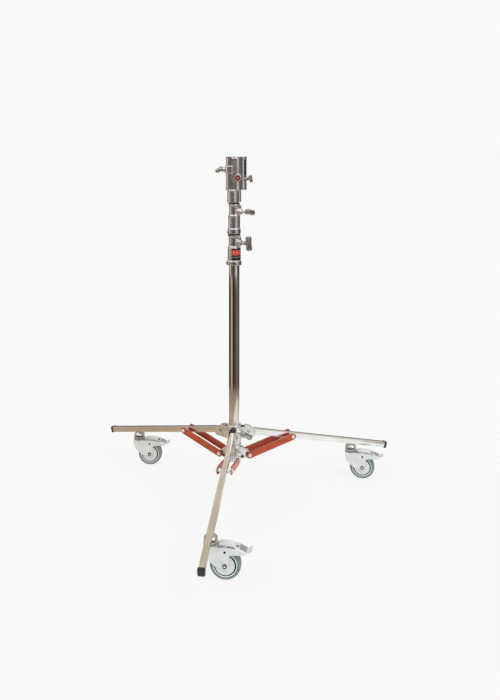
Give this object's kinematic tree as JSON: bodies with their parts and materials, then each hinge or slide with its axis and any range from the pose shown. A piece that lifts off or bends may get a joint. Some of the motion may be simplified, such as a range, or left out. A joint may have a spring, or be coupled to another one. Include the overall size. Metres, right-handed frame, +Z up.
{
  "type": "rolling lighting stand",
  "caption": "Chromed rolling stand for stage and film lights: braked castors on a folding three-legged base, telescoping column with T-handle clamps, and a combination socket and spigot head.",
  "frame": {"origin": "on the column's axis, at the floor under the wheels", "axes": "+Z up the column; the front leg points along -Y, and the rear legs point 30 and 150 degrees round from +X"},
  "size_m": [1.201, 1.0409, 1.323],
  "materials": {
    "chrome_tube": "polished chrome plate over steel tube",
    "cast_alloy": "polished and plated die casting",
    "handle_alloy": "tumbled casting",
    "bright_zinc": "bright zinc plated pressing",
    "bolt_zinc": "zinc plated fastener",
    "black_steel": "blackened screw heads",
    "orange_paint": "semi-gloss red-orange paint",
    "black_rubber": "matte wiper ring",
    "black_plastic": "moulded end cap",
    "nylon": "natural nylon",
    "rim_plastic": "light grey moulded rim",
    "tyre_rubber": "blue-grey non-marking rubber",
    "label_print": "printed wrap with plain bands",
    "badge_enamel": "plain enamel ring",
    "spigot_steel": "turned steel"
  },
  "bodies": {
    "column": {"column_tube": "chrome_tube", "column_clamp": "cast_alloy", "column_label": "label_print", "column_gasket": "black_rubber", "column_foot_plug": "black_plastic", "column_clamp_shoe": "nylon", "lower_collar": "cast_alloy", "collar_screws": "black_steel", "brace_pivot_bolts": "bolt_zinc"},
    "riser_1": {"riser_1_tube": "chrome_tube", "riser_1_clamp": "cast_alloy", "riser_1_gasket": "black_rubber", "riser_1_foot": "nylon", "riser_1_clamp_shoe": "nylon", "riser_1_screw": "black_steel"},
    "riser_2": {"riser_2_tube": "chrome_tube", "riser_2_foot": "nylon", "head_casting": "cast_alloy", "head_badge": "badge_enamel"},
    "spigot": {"spigot": "spigot_steel"},
    "handle_column": {"t_handle_column": "handle_alloy"},
    "handle_riser": {"t_handle_riser": "handle_alloy"},
    "handle_socket": {"t_handle_socket": "handle_alloy"},
    "handle_spigot": {"t_handle_spigot": "handle_alloy"},
    "handle_hub": {"t_handle_hub": "handle_alloy"},
    "hub": {"hub_collar": "cast_alloy", "hub_pivot_bolts": "bolt_zinc"},
    "brace_front": {"brace_front": "orange_paint"},
    "leg_front": {"leg_tube_front": "chrome_tube", "leg_caps_front": "black_plastic", "knee_bolt_front": "bolt_zinc", "castor_stem_front": "bright_zinc"},
    "castor_front": {"castor_race_front": "bright_zinc", "castor_fork_front": "bright_zinc", "castor_axle_front": "bolt_zinc"},
    "wheel_front": {"castor_rim_front": "rim_plastic", "castor_tyre_front": "tyre_rubber"},
    "pedal_front": {"brake_pedal_front": "bright_zinc"},
    "brace_right": {"brace_right": "orange_paint"},
    "leg_right": {"leg_tube_right": "chrome_tube", "leg_caps_right": "black_plastic", "knee_bolt_right": "bolt_zinc", "castor_stem_right": "bright_zinc"},
    "castor_right": {"castor_race_right": "bright_zinc", "castor_fork_right": "bright_zinc", "castor_axle_right": "bolt_zinc"},
    "wheel_right": {"castor_rim_right": "rim_plastic", "castor_tyre_right": "tyre_rubber"},
    "pedal_right": {"brake_pedal_right": "bright_zinc"},
    "brace_left": {"brace_left": "orange_paint"},
    "leg_left": {"leg_tube_left": "chrome_tube", "leg_caps_left": "black_plastic", "knee_bolt_left": "bolt_zinc", "castor_stem_left": "bright_zinc"},
    "castor_left": {"castor_race_left": "bright_zinc", "castor_fork_left": "bright_zinc", "castor_axle_left": "bolt_zinc"},
    "wheel_left": {"castor_rim_left": "rim_plastic", "castor_tyre_left": "tyre_rubber"},
    "pedal_left": {"brake_pedal_left": "bright_zinc"}
  },
  "joints": [
    {"name": "base_fold", "type": "hinge", "parent": "column", "child": "brace_front", "pos_m": [0, -0.0545, 0.17452], "axis": [-1, 0, 0], "range_deg": [0, 56]},
    {"name": "knee_front", "type": "hinge", "parent": "brace_front", "child": "leg_front", "pos_m": [0, -0.2395, 0.21996], "axis": [-1, 0, 0], "range_deg": [-112, 0]},
    {"name": "brace_right_fold", "type": "hinge", "parent": "column", "child": "brace_right", "pos_m": [0.0472, 0.02725, 0.17452], "axis": [0.5, -0.866, 0], "range_deg": [0, 56]},
    {"name": "knee_right", "type": "hinge", "parent": "brace_right", "child": "leg_right", "pos_m": [0.20741, 0.11975, 0.21996], "axis": [0.5, -0.866, 0], "range_deg": [-112, 0]},
    {"name": "brace_left_fold", "type": "hinge", "parent": "column", "child": "brace_left", "pos_m": [-0.0472, 0.02725, 0.17452], "axis": [0.5, 0.866, 0], "range_deg": [0, 56]},
    {"name": "knee_left", "type": "hinge", "parent": "brace_left", "child": "leg_left", "pos_m": [-0.20741, 0.11975, 0.21996], "axis": [0.5, 0.866, 0], "range_deg": [-112, 0]},
    {"name": "hub_lift", "type": "hinge", "parent": "leg_front", "child": "hub", "pos_m": [0, -0.0545, 0.2654], "axis": [-1, 0, 0], "range_deg": [0, 56]},
    {"name": "riser_1_slide", "type": "slide", "parent": "column", "child": "riser_1", "axis": [0, 0, 1], "range_m": [0, 0.68]},
    {"name": "riser_2_slide", "type": "slide", "parent": "riser_1", "child": "riser_2", "axis": [0, 0, 1], "range_m": [0, 0.75]},
    {"name": "spigot_slide", "type": "slide", "parent": "riser_2", "child": "spigot", "axis": [0, 0, 1], "range_m": [0, 0.066]},
    {"name": "turn_handle_column", "type": "hinge", "parent": "column", "child": "handle_column", "pos_m": [0, 0, 1], "axis": [0.848, -0.5299, 0], "range_deg": [0, 270]},
    {"name": "turn_handle_riser", "type": "hinge", "parent": "riser_1", "child": "handle_riser", "pos_m": [0, 0, 1.116], "axis": [0.9563, -0.2924, 0], "range_deg": [0, 270]},
    {"name": "turn_handle_socket", "type": "hinge", "parent": "riser_2", "child": "handle_socket", "pos_m": [-0.01435, 0.00439, 1.273], "axis": [-0.9563, 0.2924, 0], "range_deg": [0, 270]},
    {"name": "turn_handle_spigot", "type": "hinge", "parent": "spigot", "child": "handle_spigot", "pos_m": [0.02965, -0.00906, 1.241], "axis": [0.829, -0.5592, 0], "range_deg": [0, 270]},
    {"name": "turn_handle_hub", "type": "hinge", "parent": "hub", "child": "handle_hub", "pos_m": [0, 0, 0.271], "axis": [0.766, -0.6428, 0], "range_deg": [0, 270]},
    {"name": "swivel_front", "type": "hinge", "parent": "leg_front", "child": "castor_front", "pos_m": [0, -0.517, 0.112], "axis": [0, 0, 1], "continuous": true},
    {"name": "roll_front", "type": "hinge", "parent": "castor_front", "child": "wheel_front", "pos_m": [0.047, -0.517, 0.05], "axis": [0, 1, 0], "continuous": true},
    {"name": "brake_front", "type": "hinge", "parent": "castor_front", "child": "pedal_front", "pos_m": [0.047, -0.517, 0.095], "axis": [0, 1, 0], "range_deg": [0, 6]},
    {"name": "swivel_right", "type": "hinge", "parent": "leg_right", "child": "castor_right", "pos_m": [0.44773, 0.2585, 0.112], "axis": [0, 0, 1], "continuous": true},
    {"name": "roll_right", "type": "hinge", "parent": "castor_right", "child": "wheel_right", "pos_m": [0.49471, 0.25686, 0.05], "axis": [0.0349, 0.9994, 0], "continuous": true},
    {"name": "brake_right", "type": "hinge", "parent": "castor_right", "child": "pedal_right", "pos_m": [0.49471, 0.25686, 0.095], "axis": [0.0349, 0.9994, 0], "range_deg": [0, 6]},
    {"name": "swivel_left", "type": "hinge", "parent": "leg_left", "child": "castor_left", "pos_m": [-0.44773, 0.2585, 0.112], "axis": [0, 0, 1], "continuous": true},
    {"name": "roll_left", "type": "hinge", "parent": "castor_left", "child": "wheel_left", "pos_m": [-0.40085, 0.26178, 0.05], "axis": [-0.0698, 0.9976, 0], "continuous": true},
    {"name": "brake_left", "type": "hinge", "parent": "castor_left", "child": "pedal_left", "pos_m": [-0.40085, 0.26178, 0.095], "axis": [-0.0698, 0.9976, 0], "range_deg": [0, 6]}
  ],
  "couplings": [
    {"joint": "knee_front", "follows": "base_fold", "ratio": -2},
    {"joint": "brace_right_fold", "follows": "base_fold", "ratio": 1},
    {"joint": "knee_right", "follows": "base_fold", "ratio": -2},
    {"joint": "brace_left_fold", "follows": "base_fold", "ratio": 1},
    {"joint": "knee_left", "follows": "base_fold", "ratio": -2},
    {"joint": "hub_lift", "follows": "base_fold", "ratio": 1}
  ]
}
